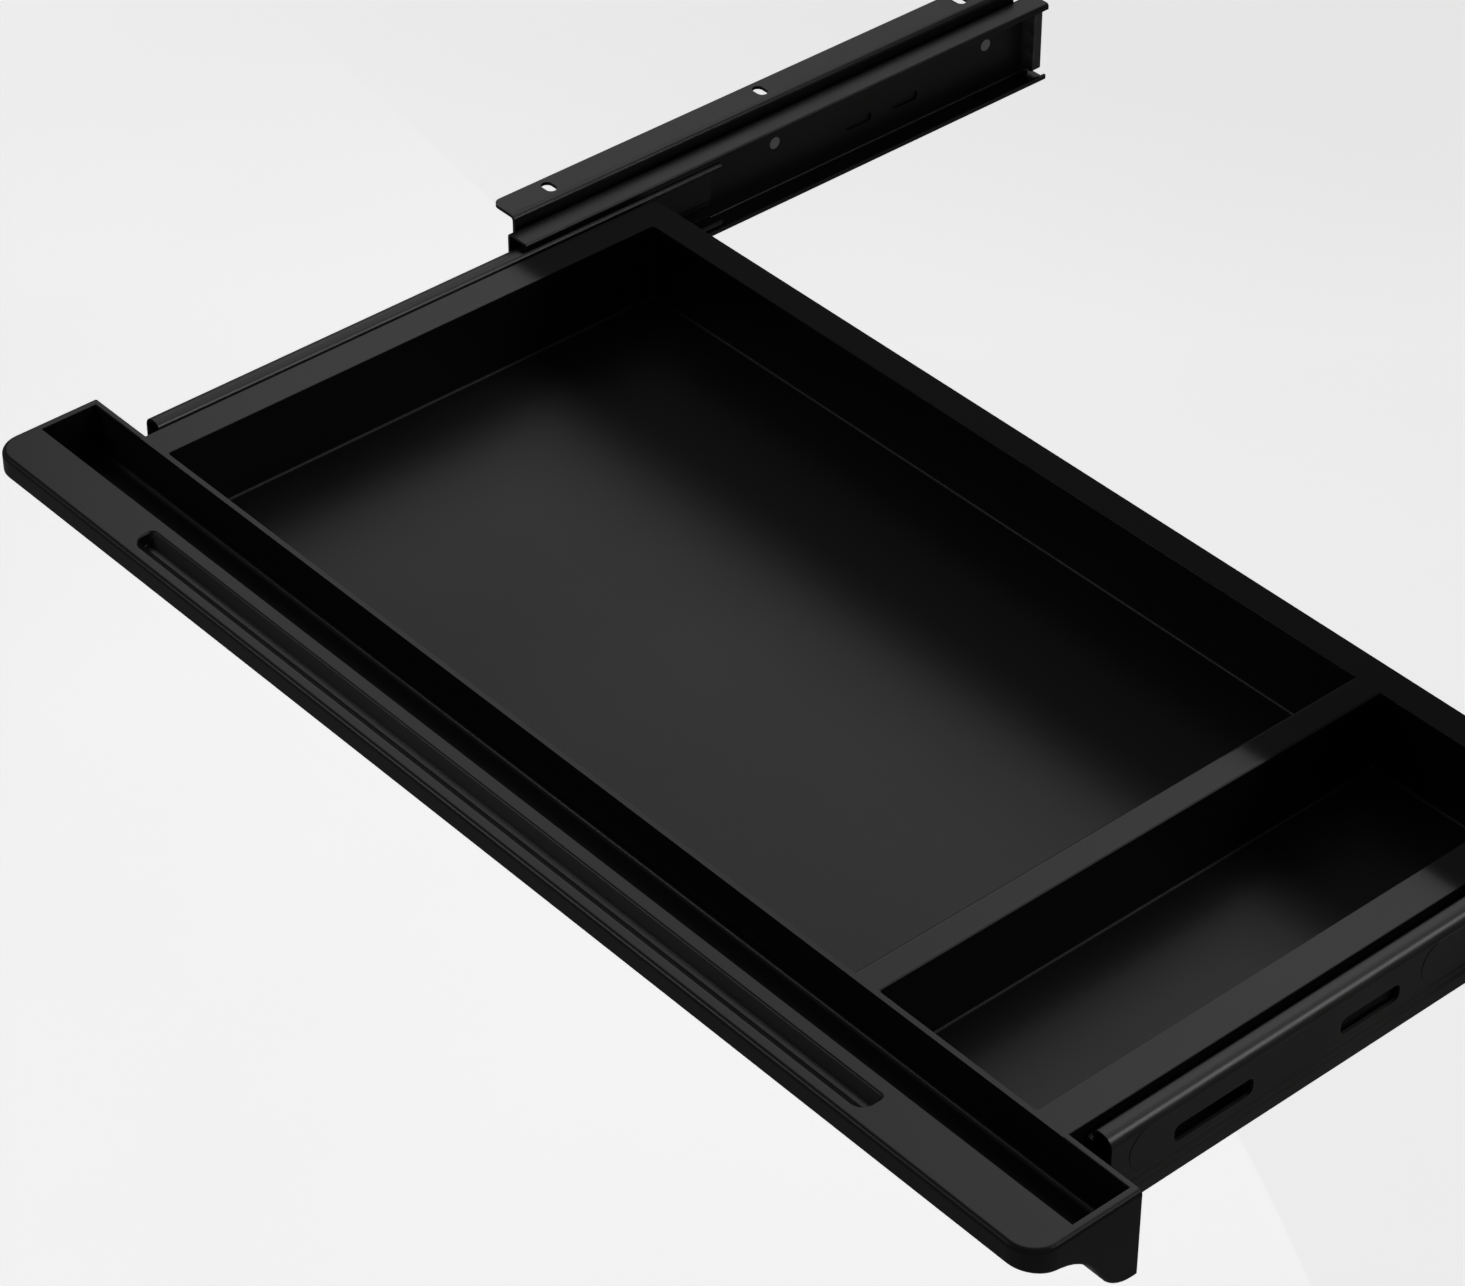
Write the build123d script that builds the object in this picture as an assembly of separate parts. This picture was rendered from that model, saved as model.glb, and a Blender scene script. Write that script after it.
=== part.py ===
"""Under desk drawer: a moulded tray with a pen trough and a phone groove, on ball-bearing slides.

Drawer coordinates, used while each piece is made:
    X = 0 on the drawer's centre line, +X to the user's right
    Y = 0 at the rear face of the front bar, +Y towards the back of the desk
    Z = 0 on the top plane of the tray and bar
The object's own origin is the centre of the bracket screw pattern, on the plane that meets the desk,
and every piece is moved there when it is written. The drawer stands partly open at rest.
All lengths are in millimetres.
"""
from build123d import *
import os

# ---------------------------------------------------------------- driving dimensions
# front bar
BAR_LENGTH = 604.0
BAR_DEPTH = 51.0
BAR_HEIGHT = 39.8
LIP_FRONT_HEIGHT = 9.8
BAR_CORNER_R = 12.0
BAR_TOP_EDGE_R = 2.0
BAR_END_WALL = 4.0
FINGER_ROOT = (-26.3, -15.3)
FINGER_ROOT_R = 26.0
BELLY_CORNER_Y = -11.0
BELLY_R = 16.0

# pen trough and phone groove, both in the bar
TROUGH_REAR_Y = -2.5
TROUGH_FRONT_Y = -28.7
TROUGH_DEPTH = 21.8
TROUGH_EDGE_R = 0.4
GROOVE_HALF_LENGTH = 212.5
GROOVE_REAR_Y = -34.4
GROOVE_FRONT_Y = -45.6
GROOVE_FLOOR_Y = (-40.2, -38.0)
GROOVE_DEPTH = 5.0
GROOVE_EDGE_R = 1.1

# tray
WALL = 2.8
FLOOR_THICKNESS = 2.6
TRAY_INNER_HALF_WIDTH = 251.0
TRAY_INNER_LENGTH = 253.8
TRAY_DEPTH = 36.0
FLANGE_OUTER_X = 266.7
REAR_FLANGE_Y = 268.0
SKIRT_HEIGHT = 32.0
REAR_SKIRT_HEIGHT = 14.0
DIVIDER_LEFT_X = 159.1
DIVIDER_RIGHT_X = 171.8
RIM_CORNER_R = 4.0
RIM_OUTER_EDGE_R = 0.5
DIVIDER_EDGE_R = 2.2
DIVIDER_EDGE_DROP = 0.35
COMPARTMENT_EDGE_R = 0.35
INSIDE_CORNER_R = 1.2

# slides
SLIDE_LENGTH = 300.0
SLIDE_CENTRE_Z = -16.5
SHEET = 1.2
CAGE_SHEET = 0.5
BALL_CLEARANCE = 0.1
INNER_BALL_R = 1.6
OUTER_BALL_R = 1.2
BALL_PITCH = 12.5
INNER_MEMBER_FRONT_Y = 7.5
INNER_MEMBER_LENGTH = 250.0
MIDDLE_MEMBER_FRONT_Y = 8.7
OUTER_MEMBER_FRONT_Y = 200.0
OUTER_MEMBER_LENGTH = 306.0

# travel of each stage, away from the pose in which the pieces are drawn
MIDDLE_CLOSING_TRAVEL = OUTER_MEMBER_FRONT_Y - MIDDLE_MEMBER_FRONT_Y
MIDDLE_OPENING_TRAVEL = 3.7
DRAWER_OPENING_TRAVEL = 130.0

# desk brackets
DESK_PLANE_Z = 10.0
BRACKET_SHEET = 1.6
BRACKET_FLANGE_U = 32.0
BRACKET_LEG_BOTTOM_W = -12.0
BRACKET_FRONT_Y = 204.0
BRACKET_LENGTH = 292.0
DESK_SLOT_X = 292.0
DESK_SLOT_Y = (230.0, 350.0, 470.0)
DESK_SLOT_WIDTH = 5.2
DESK_SLOT_LENGTH = 8.0

# fasteners
MEMBER_SCREW_Y = (58.2, 136.0, 236.0)
MEMBER_SCREW_R = 1.7
RIVET_Y = (222.0, 350.0, 478.0)
RIVET_W = 4.0
RIVET_R = 2.0

ORIGIN = (0.0, DESK_SLOT_Y[1], DESK_PLANE_Z)


# ---------------------------------------------------------------- helpers
def block(x_range, y_range, z_range):
    """Box between two corners."""
    low = (x_range[0], y_range[0], z_range[0])
    size = [high - start for start, high in (x_range, y_range, z_range)]
    return Pos(*low) * Box(*size, align=(Align.MIN, Align.MIN, Align.MIN))


def along_bar(outline, half_length):
    """Extrude a (y, z) face along X, the same distance to each side."""
    return extrude(Plane.YZ * outline, amount=half_length, both=True)


def slide_plane(rear_y):
    """Plane of the right slide's section: u outwards from the skirt, w up from the slide's centre."""
    return Plane(origin=(FLANGE_OUTER_X, rear_y, SLIDE_CENTRE_Z), x_dir=(1, 0, 0), z_dir=(0, -1, 0))


def sheet_channel(points, sheet, bend_r, front_y, length):
    """Bent sheet: a centre line of (u, w) points, thickened and run from front_y towards the rear."""
    path = FilletPolyline(*points, radius=bend_r)
    section = trace(path, line_width=sheet)
    return extrude(slide_plane(front_y + length) * section, amount=length)


def x_cylinder(radius, y, z, x_range):
    """Cylinder along X between two X values."""
    plane = Plane(origin=(x_range[0], y, z), x_dir=(0, 1, 0), z_dir=(1, 0, 0))
    return extrude(plane * Circle(radius), amount=x_range[1] - x_range[0])


def web_slot(y_centre, z_centre, size, x_range):
    """Round-ended slot tool, long in Y, cut along X."""
    plane = Plane(origin=(x_range[0], y_centre, z_centre), x_dir=(0, 1, 0), z_dir=(1, 0, 0))
    return extrude(plane * SlotOverall(*size), amount=x_range[1] - x_range[0])


def at_u(u):
    """X on the right side of a point u outwards from the tray's skirt."""
    return FLANGE_OUTER_X + u


def at_w(w):
    """Z of a point w above the slide's centre."""
    return SLIDE_CENTRE_Z + w


def union(solids):
    """Fuse a list of overlapping solids."""
    return solids[0].fuse(*solids[1:]).clean() if len(solids) > 1 else solids[0]


def top_edges(solid):
    """Edges around the highest face."""
    return solid.faces().sort_by(Axis.Z)[-1].edges()


def is_within(edge, low_y, high_y):
    """Whether an edge lies wholly between two Y values."""
    bounds = edge.bounding_box()
    return bounds.min.Y > low_y and bounds.max.Y < high_y


# ---------------------------------------------------------------- tray with its front bar
def bar_solid():
    """Front bar: flat top, thin front lip, finger recess under it and a rounded belly behind."""
    half = BAR_LENGTH / 2
    outline = FilletPolyline(
        (0, 0),
        (-BAR_DEPTH, 0),
        (-BAR_DEPTH, -LIP_FRONT_HEIGHT),
        FINGER_ROOT,
        (BELLY_CORNER_Y, -BAR_HEIGHT),
        (0, -BAR_HEIGHT),
        close=True,
        radius=[0, 0, 0, FINGER_ROOT_R, BELLY_R, 0],
    )
    bar = along_bar(make_face(outline), half)
    plan = Pos(0, -BAR_DEPTH / 2) * Rectangle(BAR_LENGTH, BAR_DEPTH)
    plan = fillet(plan.vertices().group_by(Axis.Y)[0], BAR_CORNER_R)
    bar = bar & extrude(plan, amount=BAR_HEIGHT, dir=(0, 0, -1))

    lip_bottom_r = 1.5
    low_front = bar.edges().filter_by(lambda edge: edge.center().Y < -BAR_DEPTH + 4)
    bar = fillet(low_front.sort_by(Axis.Z)[0:3], lip_bottom_r)
    rim = top_edges(bar)
    bar = fillet(rim.filter_by(lambda edge: edge.center().Y < -1), BAR_TOP_EDGE_R)
    bar = bar - groove_tool()
    groove_rim = top_edges(bar).filter_by(lambda edge: is_within(edge, GROOVE_FRONT_Y - 1, GROOVE_REAR_Y + 1))
    bar = fillet(groove_rim, GROOVE_EDGE_R)
    bar = bar - trough_tool()
    trough_rim = top_edges(bar).filter_by(lambda edge: is_within(edge, TROUGH_FRONT_Y - 1, TROUGH_REAR_Y + 1))
    return fillet(trough_rim, TROUGH_EDGE_R)


def trough_tool():
    """Pen trough: upright rear wall, flat floor and a front wall that slopes under the lip."""
    slope_run = 10.9
    upright_depth = 9.0
    rear_corner_r = 3.0
    slope_foot_r = 5.0
    slope_head_r = 4.0
    outline = FilletPolyline(
        (TROUGH_REAR_Y, 1),
        (TROUGH_REAR_Y, -TROUGH_DEPTH),
        (TROUGH_FRONT_Y + slope_run, -TROUGH_DEPTH),
        (TROUGH_FRONT_Y, -upright_depth),
        (TROUGH_FRONT_Y, 1),
        close=True,
        radius=[0, rear_corner_r, slope_foot_r, slope_head_r, 0],
    )
    return along_bar(make_face(outline), BAR_LENGTH / 2 - BAR_END_WALL)


def groove_plan(y_range, half_length, corner_radii, z):
    """Level section of the groove: a long slot whose front and rear corners have their own radii."""
    plan = Pos(0, sum(y_range) / 2) * Rectangle(2 * half_length, y_range[1] - y_range[0])
    plan = fillet(plan.vertices().group_by(Axis.Y)[0], corner_radii[0])
    plan = fillet(plan.vertices().group_by(Axis.Y)[-1], corner_radii[1])
    return Pos(0, 0, z) * plan


def groove_tool():
    """Phone groove: sloping rear wall, narrow floor and a bevelled front, with steep ends."""
    end_draft = 0.6
    floor_r = 0.7
    mouth_corners = (6.0, 2.0)
    floor_corners = (1.0, 1.0)
    mouth = groove_plan((GROOVE_FRONT_Y, GROOVE_REAR_Y), GROOVE_HALF_LENGTH, mouth_corners, 0)
    floor = groove_plan(GROOVE_FLOOR_Y, GROOVE_HALF_LENGTH - end_draft, floor_corners, -GROOVE_DEPTH)
    tool = loft([mouth, floor], ruled=True)
    return fillet(tool.faces().sort_by(Axis.Z)[0].edges(), floor_r)


def belly_pockets():
    """Coring pockets in the belly of the bar, open downwards, with ribs between them."""
    rib = 3.0
    count = 12
    pitch = (BAR_LENGTH - 2 * BAR_END_WALL + rib) / count
    first_x = -BAR_LENGTH / 2 + BAR_END_WALL
    pocket_y = (-11.5, -WALL)
    pocket_z = (-BAR_HEIGHT - 1, -TROUGH_DEPTH - WALL)
    pockets = []
    for index in range(count):
        low_x = first_x + index * pitch
        pockets.append(block((low_x, low_x + pitch - rib), pocket_y, pocket_z))
    return pockets


def compartment_tool(x_range):
    """One compartment: a box with small radii along its floor and in its upright corners."""
    tool = block(x_range, (0, TRAY_INNER_LENGTH), (-TRAY_DEPTH, 1))
    top = tool.edges().group_by(Axis.Z)[-1]
    return fillet([edge for edge in tool.edges() if edge not in top], INSIDE_CORNER_R)


def rim_plan(inset):
    """Plan of the rim behind the bar, with rounded rear corners, moved in by an inset."""
    half = FLANGE_OUTER_X - inset
    y_range = (TROUGH_REAR_Y, REAR_FLANGE_Y - inset)
    plan = Pos(0, sum(y_range) / 2) * Rectangle(2 * half, y_range[1] - y_range[0])
    return fillet(plan.vertices().group_by(Axis.Y)[-1], RIM_CORNER_R - inset)


def rim():
    """Flat rim around the compartments, with a short skirt and a soft outer edge."""
    shell = extrude(rim_plan(0), amount=REAR_SKIRT_HEIGHT, dir=(0, 0, -1))
    shell = fillet(top_edges(shell).filter_by(lambda edge: edge.center().Y > 0), RIM_OUTER_EDGE_R)
    hollow = extrude(Pos(0, 0, -WALL) * rim_plan(WALL), amount=REAR_SKIRT_HEIGHT, dir=(0, 0, -1))
    return shell - hollow


def side_rail_webs():
    """Ribs and screw bosses inside the hollow side rails, for both sides."""
    rib = 2.0
    rib_depth = 24.0
    boss_r = 4.5
    rib_positions = (24.0, 97.0, 175.0, 206.0)
    rail_x = (TRAY_INNER_HALF_WIDTH + WALL / 2, FLANGE_OUTER_X - WALL / 2)
    webs = []
    for rib_y in rib_positions:
        webs.append(block(rail_x, (rib_y, rib_y + rib), (-rib_depth, -WALL / 2)))
    for screw_y in MEMBER_SCREW_Y:
        webs.append(x_cylinder(boss_r, screw_y, SLIDE_CENTRE_Z, rail_x))
    return webs + [mirror(web, about=Plane.YZ) for web in webs]


def drawer_tray():
    """One moulding: bar, compartments, divider, side rails and rear rim."""
    outer_half = TRAY_INNER_HALF_WIDTH + WALL
    rear_y = TRAY_INNER_LENGTH + WALL
    floor_z = -TRAY_DEPTH - FLOOR_THICKNESS
    skirt_x = (FLANGE_OUTER_X - WALL, FLANGE_OUTER_X)
    side_skirt = block(skirt_x, (TROUGH_REAR_Y, REAR_FLANGE_Y - RIM_CORNER_R), (-SKIRT_HEIGHT, -WALL / 2))
    tray_y = (TROUGH_REAR_Y, rear_y)
    body = [
        bar_solid(),
        block((-outer_half, outer_half), tray_y, (floor_z, 0)),
        rim(),
        side_skirt,
        mirror(side_skirt, about=Plane.YZ),
    ]
    tray = union(body + side_rail_webs())

    left = compartment_tool((-TRAY_INNER_HALF_WIDTH, DIVIDER_LEFT_X))
    right = compartment_tool((DIVIDER_RIGHT_X, TRAY_INNER_HALF_WIDTH))
    core_x = (DIVIDER_LEFT_X + WALL, DIVIDER_RIGHT_X - WALL)
    core_y = (WALL, TRAY_INNER_LENGTH - WALL)
    divider_core = block(core_x, core_y, (floor_z - 1, -WALL))
    tray = tray - [left, right, divider_core] - belly_pockets()
    mouths = top_edges(tray).filter_by(lambda edge: is_within(edge, -0.1, TRAY_INNER_LENGTH + 0.1))
    tray = fillet(mouths, COMPARTMENT_EDGE_R)

    pilot_r = MEMBER_SCREW_R + 0.05
    skin = 2.0
    pilot_x = (TRAY_INNER_HALF_WIDTH + WALL + skin, FLANGE_OUTER_X + 1)
    pilots = [x_cylinder(pilot_r, screw_y, SLIDE_CENTRE_Z, pilot_x) for screw_y in MEMBER_SCREW_Y]
    tray = tray - pilots - [mirror(pilot, about=Plane.YZ) for pilot in pilots]
    return tray - [rounding_tool(DIVIDER_LEFT_X, 1), rounding_tool(DIVIDER_RIGHT_X, -1)]


def rounding_tool(x, side):
    """Tool that curves the top of the divider down to its edge at X; side is +1 when it lies towards +X."""
    radius = DIVIDER_EDGE_R
    drop = DIVIDER_EDGE_DROP
    width = (2 * radius * drop - drop**2) ** 0.5
    corner = block(sorted((x - side, x + side * width)), (0, TRAY_INNER_LENGTH), (-drop, 1))
    centre = Plane(origin=(x + side * width, 0, -radius), x_dir=(1, 0, 0), z_dir=(0, 1, 0))
    return corner - extrude(centre * Circle(radius), amount=TRAY_INNER_LENGTH)


# ---------------------------------------------------------------- slide members, right side
def inner_member():
    """Drawer member: a channel screwed to the tray's skirt, open outwards."""
    half_web = SHEET / 2
    flange_w = 11.3
    lip_u = 8.0
    lip_w = 12.4
    bend_r = 0.65
    hole_r = 2.1
    points = [
        (lip_u, lip_w),
        (lip_u, flange_w),
        (half_web, flange_w),
        (half_web, -flange_w),
        (lip_u, -flange_w),
        (lip_u, -lip_w),
    ]
    member = sheet_channel(points, SHEET, bend_r, INNER_MEMBER_FRONT_Y, INNER_MEMBER_LENGTH)
    holes = [x_cylinder(hole_r, screw_y, SLIDE_CENTRE_Z, (at_u(-1), at_u(3))) for screw_y in MEMBER_SCREW_Y]
    return member - holes


MIDDLE_FLANGE_W = 15.9
MIDDLE_WEB_U = 11.4
MIDDLE_LEDGE_STEP = 0.8
MIDDLE_UPPER_LEDGE_W = (-6.2, -7.5)
MIDDLE_LOWER_LEDGE_W = (-9.1, -10.4)
MIDDLE_LIP_U = 3.35
MIDDLE_LIP_W = 12.4
MIDDLE_SLOTS = ((58.2, 38.4), (136.0, 30.0), (236.0, 30.0))
MIDDLE_SLOT_HEIGHT = 7.6
MIDDLE_SLOT_CORNER_R = 2.6
MIDDLE_SLOT_W = 0.3
MIDDLE_STEP_Y = (17.5, 162.0)
MIDDLE_STEP_R = 9.3
MIDDLE_STEP_W = 3.1
MIDDLE_STEP = 0.2


def middle_slot(y_centre, z_centre, length, x_range):
    """Slot tool with softly rounded corners, long in Y, cut along X."""
    plane = Plane(origin=(x_range[0], y_centre, z_centre), x_dir=(0, 1, 0), z_dir=(1, 0, 0))
    outline = RectangleRounded(length, MIDDLE_SLOT_HEIGHT, MIDDLE_SLOT_CORNER_R)
    return extrude(plane * outline, amount=x_range[1] - x_range[0])


def middle_member():
    """Middle member: web outwards with a double ledge along the bottom, slots and two pressed steps."""
    upper_ledge_u = MIDDLE_WEB_U + MIDDLE_LEDGE_STEP
    lower_ledge_u = MIDDLE_WEB_U + 2 * MIDDLE_LEDGE_STEP
    points = [
        (MIDDLE_LIP_U, MIDDLE_LIP_W),
        (MIDDLE_LIP_U, MIDDLE_FLANGE_W),
        (MIDDLE_WEB_U, MIDDLE_FLANGE_W),
        (MIDDLE_WEB_U, MIDDLE_UPPER_LEDGE_W[0]),
        (upper_ledge_u, MIDDLE_UPPER_LEDGE_W[1]),
        (upper_ledge_u, MIDDLE_LOWER_LEDGE_W[0]),
        (lower_ledge_u, MIDDLE_LOWER_LEDGE_W[1]),
        (lower_ledge_u, -MIDDLE_FLANGE_W),
        (MIDDLE_LIP_U, -MIDDLE_FLANGE_W),
        (MIDDLE_LIP_U, -MIDDLE_LIP_W),
    ]
    lip_bend_r = 2.6
    top_bend_r = 4.2
    ledge_bend_r = 0.65
    foot_bend_r = 0.7
    bends = [lip_bend_r, top_bend_r] + [ledge_bend_r] * 4 + [foot_bend_r, lip_bend_r]
    member = sheet_channel(points, SHEET, bends, MIDDLE_MEMBER_FRONT_Y, SLIDE_LENGTH)
    rear_y = MIDDLE_MEMBER_FRONT_Y + SLIDE_LENGTH
    web_face = MIDDLE_WEB_U + SHEET / 2
    for level, step_y in enumerate(MIDDLE_STEP_Y):
        plate_x = (at_u(web_face - SHEET / 4), at_u(web_face + MIDDLE_STEP * (level + 1)))
        centre_y = step_y + MIDDLE_STEP_R
        centre_z = at_w(MIDDLE_STEP_W)
        plate = block(plate_x, (centre_y, rear_y), (centre_z - MIDDLE_STEP_R, centre_z + MIDDLE_STEP_R))
        nose = x_cylinder(MIDDLE_STEP_R, centre_y, centre_z, plate_x)
        member = member.fuse(plate, nose).clean()
    slot_x = (at_u(MIDDLE_WEB_U - 2), at_u(MIDDLE_WEB_U + 3))
    slot_z = at_w(MIDDLE_SLOT_W)
    slots = [middle_slot(y, slot_z, length, slot_x) for y, length in MIDDLE_SLOTS]
    return member - slots


OUTER_FLANGE_W = 19.7
OUTER_WEB_U = 15.8
OUTER_LIP_U = 4.2
OUTER_LIP_W = 17.3
OUTER_SLOT_Y = (272.0, 300.0, 400.0, 428.0)
OUTER_SLOT_W = -5.0
OUTER_SLOT_SIZE = (16.0, 5.0)


def outer_member():
    """Desk member: the widest channel, riveted to the bracket, with access slots in its web."""
    points = [
        (OUTER_LIP_U, OUTER_LIP_W),
        (OUTER_LIP_U, OUTER_FLANGE_W),
        (OUTER_WEB_U, OUTER_FLANGE_W),
        (OUTER_WEB_U, -OUTER_FLANGE_W),
        (OUTER_LIP_U, -OUTER_FLANGE_W),
        (OUTER_LIP_U, -OUTER_LIP_W),
    ]
    lip_bend_r = 0.8
    web_bend_r = 1.6
    bends = [lip_bend_r, web_bend_r, web_bend_r, lip_bend_r]
    member = sheet_channel(points, SHEET, bends, OUTER_MEMBER_FRONT_Y, OUTER_MEMBER_LENGTH)
    web_x = (at_u(OUTER_WEB_U - 2), at_u(OUTER_WEB_U + 2))
    cuts = [x_cylinder(RIVET_R + 0.05, y, at_w(RIVET_W), web_x) for y in RIVET_Y]
    cuts += [countersink(y) for y in RIVET_Y]
    for slot_y in OUTER_SLOT_Y:
        cuts.append(web_slot(slot_y, at_w(OUTER_SLOT_W), OUTER_SLOT_SIZE, web_x))
    cuts.append(x_cylinder(BUMPER_PLUG_R + 0.05, bumper_centre_y(), SLIDE_CENTRE_Z, web_x))
    return member - cuts


def countersink(y):
    """Cone that takes the flush inner end of a rivet in the desk member's web."""
    depth = 0.9
    inner_x = at_u(OUTER_WEB_U - SHEET / 2)
    cone = Cone(RIVET_R + depth, RIVET_R, depth, align=(Align.CENTER, Align.CENTER, Align.MIN))
    return Plane(origin=(inner_x, y, at_w(RIVET_W)), x_dir=(0, 1, 0), z_dir=(1, 0, 0)) * cone


# ---------------------------------------------------------------- ball rows and their cages
def ball_row(u, w, radius, first_y, count):
    """Balls of one race, evenly spaced along the slide."""
    return [Pos(at_u(u), first_y + index * BALL_PITCH, at_w(w)) * Sphere(radius) for index in range(count)]


def cage_with_holes(points, front_y, length, ball_u, ball_w, ball_r, first_y, count):
    """Ball cage: a thin channel with a hole around every ball in both races."""
    bend_r = 0.5
    cage = sheet_channel(points, CAGE_SHEET, bend_r, front_y, length)
    height = 2 * (ball_w + ball_r)
    holes = []
    for index in range(count):
        centre = (at_u(ball_u), first_y + index * BALL_PITCH, SLIDE_CENTRE_Z)
        holes.append(Pos(*centre) * Cylinder(ball_r + 0.05, height))
    return cage - holes


INNER_BALL_U = 6.3
INNER_BALL_W = MIDDLE_FLANGE_W - SHEET / 2 - BALL_CLEARANCE - INNER_BALL_R
INNER_BALL_COUNT = 9
INNER_CAGE_LENGTH = 113.0
INNER_CAGE_FRONT_Y = 75.0
INNER_BALL_FIRST_Y = INNER_CAGE_FRONT_Y + (INNER_CAGE_LENGTH - (INNER_BALL_COUNT - 1) * BALL_PITCH) / 2


def inner_cage():
    """Cage of the inner race, around the drawer member."""
    edge_u = 4.4
    web_u = 9.5
    points = [(edge_u, INNER_BALL_W), (web_u, INNER_BALL_W), (web_u, -INNER_BALL_W), (edge_u, -INNER_BALL_W)]
    return cage_with_holes(
        points,
        INNER_CAGE_FRONT_Y,
        INNER_CAGE_LENGTH,
        INNER_BALL_U,
        INNER_BALL_W,
        INNER_BALL_R,
        INNER_BALL_FIRST_Y,
        INNER_BALL_COUNT,
    )


def inner_balls():
    """Both rows of balls between the drawer member and the middle member."""
    return [
        ball
        for w in (INNER_BALL_W, -INNER_BALL_W)
        for ball in ball_row(INNER_BALL_U, w, INNER_BALL_R, INNER_BALL_FIRST_Y, INNER_BALL_COUNT)
    ]


OUTER_BALL_U = 6.9
OUTER_BALL_W = MIDDLE_FLANGE_W + SHEET / 2 + BALL_CLEARANCE + OUTER_BALL_R
OUTER_BALL_COUNT = 8
OUTER_CAGE_LENGTH = 103.0
OUTER_CAGE_FRONT_Y = 203.0
OUTER_BALL_FIRST_Y = OUTER_CAGE_FRONT_Y + (OUTER_CAGE_LENGTH - (OUTER_BALL_COUNT - 1) * BALL_PITCH) / 2


def outer_cage():
    """Cage of the outer race, around the middle member."""
    edge_u = 5.3
    web_u = 14.3
    points = [(edge_u, OUTER_BALL_W), (web_u, OUTER_BALL_W), (web_u, -OUTER_BALL_W), (edge_u, -OUTER_BALL_W)]
    return cage_with_holes(
        points,
        OUTER_CAGE_FRONT_Y,
        OUTER_CAGE_LENGTH,
        OUTER_BALL_U,
        OUTER_BALL_W,
        OUTER_BALL_R,
        OUTER_BALL_FIRST_Y,
        OUTER_BALL_COUNT,
    )


def outer_balls():
    """Both rows of balls between the middle member and the desk member."""
    return [
        ball
        for w in (OUTER_BALL_W, -OUTER_BALL_W)
        for ball in ball_row(OUTER_BALL_U, w, OUTER_BALL_R, OUTER_BALL_FIRST_Y, OUTER_BALL_COUNT)
    ]


# ---------------------------------------------------------------- bracket, bumper and fasteners
def bracket():
    """Angle bracket: upright leg on the desk member, flange outwards under the desk."""
    leg_u = OUTER_WEB_U + SHEET / 2 + BRACKET_SHEET / 2
    flange_w = DESK_PLANE_Z - BRACKET_SHEET / 2 - SLIDE_CENTRE_Z
    points = [(leg_u, BRACKET_LEG_BOTTOM_W), (leg_u, flange_w), (BRACKET_FLANGE_U, flange_w)]
    angle = sheet_channel(points, BRACKET_SHEET, 2.2, BRACKET_FRONT_Y, BRACKET_LENGTH)
    corner_r = 4.0
    flange_end = angle.faces().sort_by(Axis.X)[-1]
    angle = fillet(flange_end.edges().filter_by(Axis.Z), corner_r)
    leg_end = angle.faces().sort_by(Axis.Z)[0]
    angle = fillet(leg_end.edges().filter_by(Axis.X), corner_r)
    slots = []
    for slot_y in DESK_SLOT_Y:
        outline = SlotOverall(DESK_SLOT_LENGTH, DESK_SLOT_WIDTH)
        below = DESK_PLANE_Z - 2 * BRACKET_SHEET
        slots.append(extrude(Pos(DESK_SLOT_X, slot_y, below) * outline, amount=3 * BRACKET_SHEET))
    leg_x = (at_u(leg_u - 2), at_u(leg_u + 2))
    holes = [x_cylinder(RIVET_R + 0.05, y, at_w(RIVET_W), leg_x) for y in RIVET_Y]
    return angle - slots - holes


def bracket_rivets():
    """Rivets that hold the desk member on its bracket, flush inside and domed outside."""
    inner_u = OUTER_WEB_U - SHEET / 2
    head_u = OUTER_WEB_U + SHEET / 2 + BRACKET_SHEET
    head_r = 3.8
    head_height = 1.4
    head_edge_r = 1.1
    flush_depth = 0.85
    from_base = (Align.CENTER, Align.CENTER, Align.MIN)
    flush_end = Cone(RIVET_R + flush_depth, RIVET_R, flush_depth, align=from_base)
    rivets = []
    for y in RIVET_Y:
        z = at_w(RIVET_W)
        shank = x_cylinder(RIVET_R, y, z, (at_u(inner_u), at_u(head_u)))
        head = x_cylinder(head_r, y, z, (at_u(head_u), at_u(head_u + head_height)))
        head = fillet(head.edges().sort_by(Axis.X)[-1], head_edge_r)
        flush = Plane(origin=(at_u(inner_u), y, z), x_dir=(0, 1, 0), z_dir=(1, 0, 0)) * flush_end
        rivets.append(union([shank, head, flush]))
    return rivets


BUMPER_THICKNESS = 5.0
BUMPER_PLUG_R = 2.0


def bumper_centre_y():
    """Middle of the bumper along the slide, against the rear end of the desk member."""
    return OUTER_MEMBER_FRONT_Y + OUTER_MEMBER_LENGTH - BUMPER_THICKNESS / 2


def rear_bumper():
    """Rubber stop in the rear end of the desk member, held by a plug through its web."""
    web_inner_u = OUTER_WEB_U - SHEET / 2
    centre_y = bumper_centre_y()
    y_range = (centre_y - BUMPER_THICKNESS / 2, centre_y + BUMPER_THICKNESS / 2)
    pad_face_u = 7.4
    pad_half_height = 16.0
    pad_corner_r = 1.5
    pad_z = (at_w(-pad_half_height), at_w(pad_half_height))
    pad = block((at_u(pad_face_u), at_u(web_inner_u)), y_range, pad_z)
    pad = fillet(pad.edges().filter_by(Axis.Y), pad_corner_r)
    plug_x = (at_u(web_inner_u - 1), at_u(web_inner_u + SHEET))
    plug = x_cylinder(BUMPER_PLUG_R, centre_y, SLIDE_CENTRE_Z, plug_x)
    return union([pad, plug])


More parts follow.
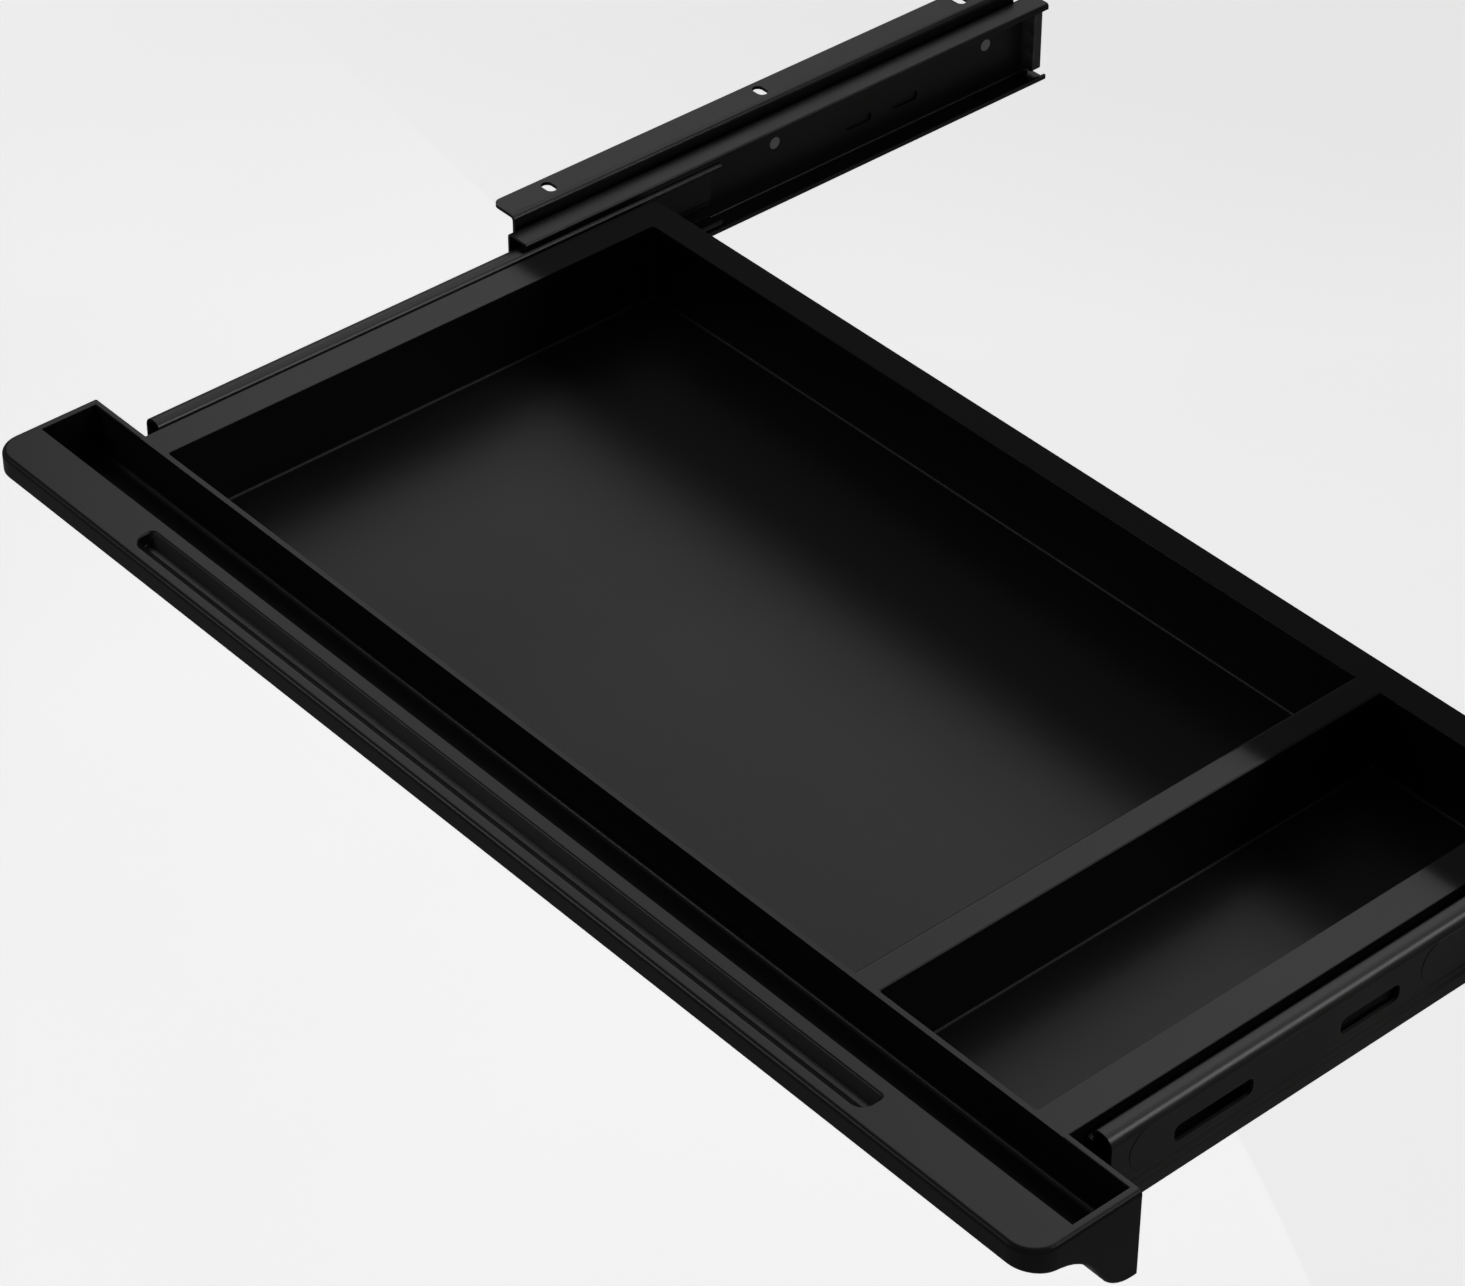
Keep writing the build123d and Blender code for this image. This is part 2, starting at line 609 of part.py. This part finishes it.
def member_screws():
    """Pan-head screws that hold the drawer member on the tray's skirt."""
    seat_u = SHEET
    head_height = 2.2
    head_r = 3.5
    shank_end_u = -10.0
    head_edge_r = 1.2
    cross_half_width = 0.45
    cross_reach = 2.0
    cross_depth = 1.4
    cross_z = (SLIDE_CENTRE_Z - cross_half_width, SLIDE_CENTRE_Z + cross_half_width)
    reach_z = (SLIDE_CENTRE_Z - cross_reach, SLIDE_CENTRE_Z + cross_reach)
    screws = []
    for y in MEMBER_SCREW_Y:
        head_x = (at_u(seat_u), at_u(seat_u + head_height))
        head = x_cylinder(head_r, y, SLIDE_CENTRE_Z, head_x)
        head = fillet(head.edges().sort_by(Axis.X)[-1], head_edge_r)
        shank = x_cylinder(MEMBER_SCREW_R, y, SLIDE_CENTRE_Z, (at_u(shank_end_u), at_u(seat_u)))
        cross_x = (head_x[1] - cross_depth, head_x[1] + 1)
        upright = block(cross_x, (y - cross_half_width, y + cross_half_width), reach_z)
        level = block(cross_x, (y - cross_reach, y + cross_reach), cross_z)
        screws.append(union([head, shank]) - [upright, level])
    return screws


# ---------------------------------------------------------------- write one file for each node
def solids_of(shape):
    """Every separate solid of a piece or of a list of pieces."""
    pieces = shape if isinstance(shape, list) else [shape]
    return [solid for piece in pieces for solid in piece.solids()]


def write_node(name, shape):
    """Move a piece into the object's own frame and write its file."""
    to_origin = Pos(-ORIGIN[0], -ORIGIN[1], -ORIGIN[2])
    solids = [to_origin * solid for solid in solids_of(shape)]
    node = solids[0] if len(solids) == 1 else Compound(children=solids)
    export_step(node, f"parts/{name}.step")


def main():
    """Make every node."""
    os.makedirs("parts", exist_ok=True)
    write_node("drawer_tray", drawer_tray())
    side_pieces = {
        "inner_member": inner_member,
        "member_screws": member_screws,
        "inner_cage": inner_cage,
        "inner_balls": inner_balls,
        "middle_member": middle_member,
        "outer_cage": outer_cage,
        "outer_balls": outer_balls,
        "outer_member": outer_member,
        "rear_bumper": rear_bumper,
        "bracket": bracket,
        "bracket_rivets": bracket_rivets,
    }
    for name, make in side_pieces.items():
        right = solids_of(make())
        write_node(f"right_{name}", right)
        write_node(f"left_{name}", [mirror(solid, about=Plane.YZ) for solid in right])


main()
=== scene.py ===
"""Looks of the under desk drawer: materials, lights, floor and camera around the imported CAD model."""

import bpy
from mathutils import Matrix, Vector

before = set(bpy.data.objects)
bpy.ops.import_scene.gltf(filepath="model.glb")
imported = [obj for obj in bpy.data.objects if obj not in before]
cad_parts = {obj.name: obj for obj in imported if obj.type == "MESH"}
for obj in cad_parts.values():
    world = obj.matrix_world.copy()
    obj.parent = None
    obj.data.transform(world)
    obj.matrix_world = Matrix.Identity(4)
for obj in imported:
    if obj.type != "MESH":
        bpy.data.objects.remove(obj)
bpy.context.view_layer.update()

# Sizes and places are in metres in the part's frame. Lens and sensor are in millimetres, lights in watts.
CAMERA_PLACE = (1.0791, -1.2024, 1.1145)
CAMERA_RIGHT = (0.654325, 0.756214, 0.0)
CAMERA_DOWN = (0.465364, -0.402710, -0.788201)
CAMERA_FORWARD = (-0.596067, 0.515719, -0.615418)
LENS = 118.24
SENSOR_WIDTH = 36.0
CLIP_NEAR, CLIP_FAR = 0.05, 50.0

# The moulding is rougher below this height, which is just above the tray's inside floor.
TRAY_FLOOR_Z = -0.0455
COARSE_FADE = 0.001
COARSE_ROUGHNESS = 0.1
SPECULAR_ON_BLACK = 0.16

STUDIO_FLOOR_Z = -0.72
STUDIO_FLOOR_HALF = 14.0
STUDIO_FLOOR_GLOW = 0.75
WORLD_LOW, WORLD_HIGH = 0.13, 0.2
WORLD_HIGH_AT = 0.25
FLAG_FRONT_Y = -0.150
FLAG_Z = 0.001
FLAG_REACH = 1.2

DRAWER = Vector((0.0, -0.3, -0.02))
BACK_RIGHT_BASE = DRAWER + Vector((0.28, 0.0, 0.0))
FRONT_LEFT_BASE = DRAWER + Vector((0.15, 0.0, 0.0))
OVERHEAD_TARGET = DRAWER + Vector((0.654, 0.756, 0.0)) * 0.25
PANEL_DISTANCE = 1.5
FRONT_LEFT_DISTANCE = 1.6
FRONT_LEFT_SIZE = (0.5, 0.5)
FRONT_LEFT_WATTS = 3.4


# ---------------------------------------------------------------- camera
def make_camera():
    """Camera in front of the drawer, to its right and above it, with a long lens."""
    data = bpy.data.cameras.new("camera")
    data.sensor_width = SENSOR_WIDTH
    data.lens = LENS
    data.clip_start = CLIP_NEAR
    data.clip_end = CLIP_FAR
    data.dof.use_dof = False
    camera = bpy.data.objects.new("camera", data)
    right, down, forward = Vector(CAMERA_RIGHT), Vector(CAMERA_DOWN), Vector(CAMERA_FORWARD)
    turn = Matrix((right, -down, -forward)).transposed().to_4x4()
    camera.matrix_world = Matrix.Translation(CAMERA_PLACE) @ turn
    bpy.context.scene.collection.objects.link(camera)
    bpy.context.scene.camera = camera


# ---------------------------------------------------------------- node helpers
class Material:
    """A material with its node tree, shader and object coordinates."""

    def __init__(self, name):
        self.material = bpy.data.materials.new(name)
        self.material.use_nodes = True
        self.tree = self.material.node_tree
        self.shader = self.tree.nodes["Principled BSDF"]
        self.coords = self.tree.nodes.new("ShaderNodeTexCoord").outputs["Object"]

    def node(self, kind, inputs=None, **settings):
        """Add a node, set its properties, and link or set its inputs."""
        made = self.tree.nodes.new(kind)
        for key, value in settings.items():
            setattr(made, key, value)
        for key, value in (inputs or {}).items():
            self.feed(made.inputs[key], value)
        return made

    def feed(self, socket, value):
        """Link an output to a socket, or set the socket's value."""
        if isinstance(value, bpy.types.NodeSocket):
            self.tree.links.new(value, socket)
        else:
            socket.default_value = value

    def set(self, **inputs):
        """Feed the shader's sockets by name, with underscores for spaces."""
        for key, value in inputs.items():
            self.feed(self.shader.inputs[key.replace("_", " ")], value)

    def stretched(self, scale):
        """Object coordinates with a scale for each axis."""
        return self.node("ShaderNodeMapping", {"Vector": self.coords, "Scale": scale}).outputs["Vector"]

    def noise(self, scale, detail, roughness, vector=None, distortion=0.0):
        """Noise between 0 and 1; scale is in cycles per metre."""
        inputs = {
            "Vector": vector or self.coords,
            "Scale": scale,
            "Detail": detail,
            "Roughness": roughness,
            "Distortion": distortion,
        }
        return self.node("ShaderNodeTexNoise", inputs).outputs["Fac"]

    def span(self, value, low, high, start=0.0, end=1.0):
        """Map a value's low..high to start..end, clamped."""
        inputs = {"Value": value, "From Min": low, "From Max": high, "To Min": start, "To Max": end}
        return self.node("ShaderNodeMapRange", inputs).outputs["Result"]

    def math(self, operation, a, b):
        """Arithmetic on two values."""
        return self.node("ShaderNodeMath", {0: a, 1: b}, operation=operation).outputs[0]

    def mix(self, factor, a, b):
        """Mix two colours; the node's sockets 6 and 7 and its output 2 are the ones for colour."""
        made = self.node("ShaderNodeMix", {0: factor, 6: a, 7: b}, data_type="RGBA")
        return made.outputs[2]

    def bump(self, height, distance, strength, normal=None):
        """Bump normal; distance is the relief in metres."""
        inputs = {"Height": height, "Distance": distance, "Strength": strength}
        if normal is not None:
            inputs["Normal"] = normal
        return self.node("ShaderNodeBump", inputs).outputs["Normal"]

    def edge_wear(self, radius, low, high):
        """How close a point is to an edge, from 0 to 1; low and high are differences between normals."""
        bevel = self.node("ShaderNodeBevel", {"Radius": radius}, samples=6).outputs["Normal"]
        true = self.node("ShaderNodeNewGeometry").outputs["Normal"]
        dot = self.node("ShaderNodeVectorMath", {0: bevel, 1: true}, operation="DOT_PRODUCT")
        return self.span(dot.outputs["Value"], 1.0 - low, 1.0 - high)


def grey(level, warm=0.0):
    """A near-neutral colour with a little warmth."""
    return (level * (1 + warm), level, level * (1 - warm), 1.0)


# ---------------------------------------------------------------- materials
def moulded_plastic():
    """Near-black injection-moulded plastic: fine grain, faint flow marks, scuffs and a rougher tray floor."""
    m = Material("moulded_plastic")
    grain = m.noise(2600.0, detail=2.0, roughness=0.6)
    ripple = m.noise(38.0, detail=2.0, roughness=0.45, vector=m.stretched((0.35, 1.0, 1.0)))
    blotch = m.noise(9.0, detail=4.0, roughness=0.6)
    marks = m.noise(240.0, detail=6.0, roughness=0.75, vector=m.stretched((0.12, 1.0, 0.6)), distortion=0.6)
    scuffs = m.span(marks, 0.66, 0.78)
    wear = m.edge_wear(0.0009, low=0.02, high=0.3)

    colour = m.mix(m.span(blotch, 0.3, 0.7), grey(0.0034, 0.03), grey(0.0048, 0.02))
    colour = m.mix(m.math("MULTIPLY", scuffs, 0.25), colour, grey(0.014))
    colour = m.mix(m.math("MULTIPLY", wear, 0.35), colour, grey(0.012))
    satin = m.span(blotch, 0.25, 0.75, start=0.27, end=0.325)
    rough = m.math("ADD", satin, m.math("MULTIPLY", scuffs, 0.06))
    height = m.node("ShaderNodeSeparateXYZ", {"Vector": m.coords}).outputs["Z"]
    coarse = m.span(height, TRAY_FLOOR_Z, TRAY_FLOOR_Z + COARSE_FADE, start=1.0, end=0.0)
    rough = m.math("ADD", rough, m.math("MULTIPLY", coarse, COARSE_ROUGHNESS))
    normal = m.bump(grain, 0.000012, strength=0.55)
    normal = m.bump(ripple, 0.00008, strength=0.25, normal=normal)
    m.set(Base_Color=colour, Roughness=rough, Normal=normal, Specular_IOR_Level=SPECULAR_ON_BLACK)
    return m.material


def painted_steel(name, level, warm):
    """Satin black paint on rolled steel: orange peel, faint draw lines and rubbed edges."""
    m = Material(name)
    peel = m.noise(950.0, detail=2.0, roughness=0.5)
    draw = m.noise(1400.0, detail=2.0, roughness=0.5, vector=m.stretched((1.0, 0.012, 1.0)))
    cloud = m.noise(22.0, detail=4.0, roughness=0.6)
    streaks = m.noise(420.0, detail=5.0, roughness=0.7, vector=m.stretched((1.0, 0.08, 1.0)))
    rub = m.span(streaks, 0.52, 0.74)
    edge = m.edge_wear(0.0006, low=0.03, high=0.35)
    worn = m.math("MULTIPLY", edge, rub)

    colour = m.mix(m.span(cloud, 0.3, 0.7), grey(level * 0.8, warm), grey(level * 1.25, warm))
    colour = m.mix(m.math("MULTIPLY", worn, 0.5), colour, grey(level * 6, warm))
    satin = m.span(cloud, 0.25, 0.75, start=0.28, end=0.36)
    rough = m.math("ADD", satin, m.math("MULTIPLY", rub, 0.05))
    normal = m.bump(peel, 0.00002, strength=0.35)
    normal = m.bump(draw, 0.00001, strength=0.3, normal=normal)
    m.set(Base_Color=colour, Roughness=rough, Normal=normal, Specular_IOR_Level=SPECULAR_ON_BLACK)
    return m.material


def bare_steel(name, level, rough_range, stretch, scale=1800.0):
    """Plain steel, or steel made near black to paint the shade inside the slides, with marks along its
    rolling direction and a thin film of grease.
    """
    m = Material(name)
    lines = m.noise(scale, detail=3.0, roughness=0.6, vector=m.stretched(stretch))
    film = m.noise(60.0, detail=5.0, roughness=0.65)
    smudge = m.span(film, 0.5, 0.68)
    colour = m.mix(m.span(lines, 0.3, 0.7), grey(level * 0.86, 0.01), grey(level * 1.08, -0.01))
    colour = m.mix(m.math("MULTIPLY", smudge, 0.35), colour, grey(level * 0.62, 0.05))
    low, high = rough_range
    satin = m.span(lines, 0.2, 0.8, start=low, end=high)
    rough = m.math("ADD", satin, m.math("MULTIPLY", smudge, 0.08))
    normal = m.bump(lines, 0.00001, strength=0.4)
    m.set(Base_Color=colour, Metallic=1.0, Roughness=rough, Normal=normal)
    return m.material


def rubber():
    """Matt black rubber with a dusty bloom and a fine pebble."""
    m = Material("stop_rubber")
    pebble = m.noise(1500.0, detail=3.0, roughness=0.6)
    bloom = m.span(m.noise(160.0, detail=5.0, roughness=0.65), 0.45, 0.75)
    colour = m.mix(m.math("MULTIPLY", bloom, 0.6), grey(0.012), grey(0.045, 0.04))
    rough = m.span(bloom, 0.0, 1.0, start=0.62, end=0.8)
    m.set(Base_Color=colour, Roughness=rough, Normal=m.bump(pebble, 0.00006, strength=0.5))
    return m.material


def studio_floor():
    """Pale matt floor with the slightest unevenness, lit a little from within so that it stays near white."""
    m = Material("studio_floor")
    mottle = m.noise(1.3, detail=4.0, roughness=0.5)
    colour = m.mix(m.span(mottle, 0.3, 0.7), grey(0.80), grey(0.83))
    rough = m.span(mottle, 0.0, 1.0, start=0.8, end=0.9)
    m.set(Base_Color=colour, Roughness=rough, Specular_IOR_Level=0.1)
    m.set(Emission_Color=colour, Emission_Strength=STUDIO_FLOOR_GLOW)
    return m.material


def dress():
    """Give every CAD node its material."""
    rolled = (1.0, 0.02, 1.0)
    even = (1.0, 1.0, 1.0)
    looks = {
        "drawer_tray": moulded_plastic(),
        "middle_member": painted_steel("black_painted_steel", level=0.006, warm=0.04),
        "bracket": painted_steel("bracket_painted_steel", level=0.007, warm=0.0),
        # Inner member: its near-black colour is painted shade, for the dark seen through the middle member's
        # slots.
        "inner_member": bare_steel("zinc_steel", 0.014, (0.32, 0.44), rolled),
        "member_screws": bare_steel("screw_steel", 0.52, (0.2, 0.34), even, scale=900.0),
        # Ball cages, inner and outer: their near-black colour is painted shade, for the dark seen through the
        # middle member's slots.
        "inner_cage": bare_steel("cage_steel", 0.014, (0.4, 0.5), rolled),
        "inner_balls": bare_steel("ball_steel", 0.72, (0.06, 0.12), even, scale=700.0),
        "bracket_rivets": bare_steel("rivet_steel", 0.4, (0.3, 0.42), even, scale=800.0),
        "rear_bumper": rubber(),
    }
    looks["outer_member"] = looks["middle_member"]
    looks["outer_cage"] = looks["inner_cage"]
    looks["outer_balls"] = looks["inner_balls"]
    for name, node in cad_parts.items():
        kind = name.removeprefix("left_").removeprefix("right_")
        for slot in node.material_slots:
            slot.material = looks[kind]


# ---------------------------------------------------------------- studio
def plane(name, low, high):
    """Level rectangle from one corner to the opposite one, at the height of the object's origin."""
    mesh = bpy.data.meshes.new(name)
    corners = [(low[0], low[1], 0), (high[0], low[1], 0), (high[0], high[1], 0), (low[0], high[1], 0)]
    mesh.from_pydata(corners, [], [(0, 1, 2, 3)])
    return bpy.data.objects.new(name, mesh)


def make_floor():
    """One large pale plane under the object."""
    half = STUDIO_FLOOR_HALF
    floor = plane("floor", (-half, -half), (half, half))
    floor.data.materials.append(studio_floor())
    floor.location.z = STUDIO_FLOOR_Z
    floor.visible_glossy = False
    bpy.context.scene.collection.objects.link(floor)
    return floor


def soft_light(name, place, target, size, watts):
    """Rectangular soft light at a place, turned to a target."""
    data = bpy.data.lights.new(name, "AREA")
    data.shape = "RECTANGLE"
    data.size, data.size_y = size
    data.energy = watts
    light = bpy.data.objects.new(name, data)
    light.location = place
    aim = Vector(target) - Vector(place)
    light.rotation_mode = "QUATERNION"
    light.rotation_quaternion = aim.to_track_quat("-Z", "Y")
    bpy.context.scene.collection.objects.link(light)
    return light


def object_group(name, objects):
    """Collection outside the scene's tree, used only to say which objects a light reaches."""
    group = bpy.data.collections.new(name)
    for thing in objects:
        group.objects.link(thing)
    return group


def make_flag():
    """Card that keeps the lights off the rear of the tray, as a desk top does; no ray sees it directly."""
    flag = plane("flag", (-FLAG_REACH, FLAG_FRONT_Y), (FLAG_REACH, FLAG_REACH))
    flag.location.z = FLAG_Z
    for rays in ("camera", "glossy", "diffuse", "transmission", "volume_scatter"):
        setattr(flag, f"visible_{rays}", False)
    bpy.context.scene.collection.objects.link(flag)
    return flag


def make_world(low, high):
    """Pale surroundings, with one level at and below the horizon that fades to another above it."""
    world = bpy.data.worlds.new("studio")
    world.use_nodes = True
    tree = world.node_tree
    background = tree.nodes["Background"]
    direction = tree.nodes.new("ShaderNodeTexCoord").outputs["Generated"]
    split = tree.nodes.new("ShaderNodeSeparateXYZ")
    tree.links.new(direction, split.inputs["Vector"])
    ramp = tree.nodes.new("ShaderNodeValToRGB")
    tree.links.new(split.outputs["Z"], ramp.inputs["Fac"])
    stops = ramp.color_ramp.elements
    stops[0].position, stops[0].color = 0.0, grey(low)
    stops[1].position, stops[1].color = WORLD_HIGH_AT, grey(high)
    tree.links.new(ramp.outputs["Color"], background.inputs["Color"])
    bpy.context.scene.world = world


def make_studio(floor):
    """Three softboxes above the drawer and one small light at its front left.

    Each softbox is two lights at one place. One lights everything but the tray, the other only the tray, with
    its own power, so that the tray and the slides can be balanced apart.
    """
    make_world(WORLD_LOW, WORLD_HIGH)
    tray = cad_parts["drawer_tray"]
    others = [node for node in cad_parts.values() if node is not tray]
    flag = make_flag()
    not_tray = object_group("not_the_tray", others + [floor])
    only_tray = object_group("the_tray", [tray])
    tray_shadows = object_group("tray_shadows", [tray, flag] + others)
    overhead = Vector((-0.596, 0.516, 0.615)).normalized() * PANEL_DISTANCE
    top_right = Vector((0.02, 0.516, 0.856)).normalized() * PANEL_DISTANCE
    back_right = Vector((0.61, 0.52, 0.60)).normalized() * PANEL_DISTANCE
    # name, place, target, size, power for the rest, power for the tray
    panels = (
        ("overhead", OVERHEAD_TARGET + overhead, OVERHEAD_TARGET, (1.5, 1.1), 7.3, 7.3),
        ("top_right", DRAWER + top_right, DRAWER, (1.3, 0.7), 7.0, 5.0),
        ("back_right", BACK_RIGHT_BASE + back_right, DRAWER, (0.9, 0.55), 17.0, 4.0),
    )
    for name, place, target, size, watts, tray_watts in panels:
        lamp = soft_light(name, place, target, size, watts)
        lamp.light_linking.receiver_collection = not_tray
        tray_lamp = soft_light(name + "_tray", place, target, size, tray_watts)
        tray_lamp.light_linking.receiver_collection = only_tray
        tray_lamp.light_linking.blocker_collection = tray_shadows
    front_left = Vector((-0.596, -0.62, 0.46)).normalized() * FRONT_LEFT_DISTANCE
    soft_light("front_left", FRONT_LEFT_BASE + front_left, DRAWER, FRONT_LEFT_SIZE, FRONT_LEFT_WATTS)


bpy.context.scene.view_settings.view_transform = "Standard"
make_camera()
dress()
make_studio(make_floor())
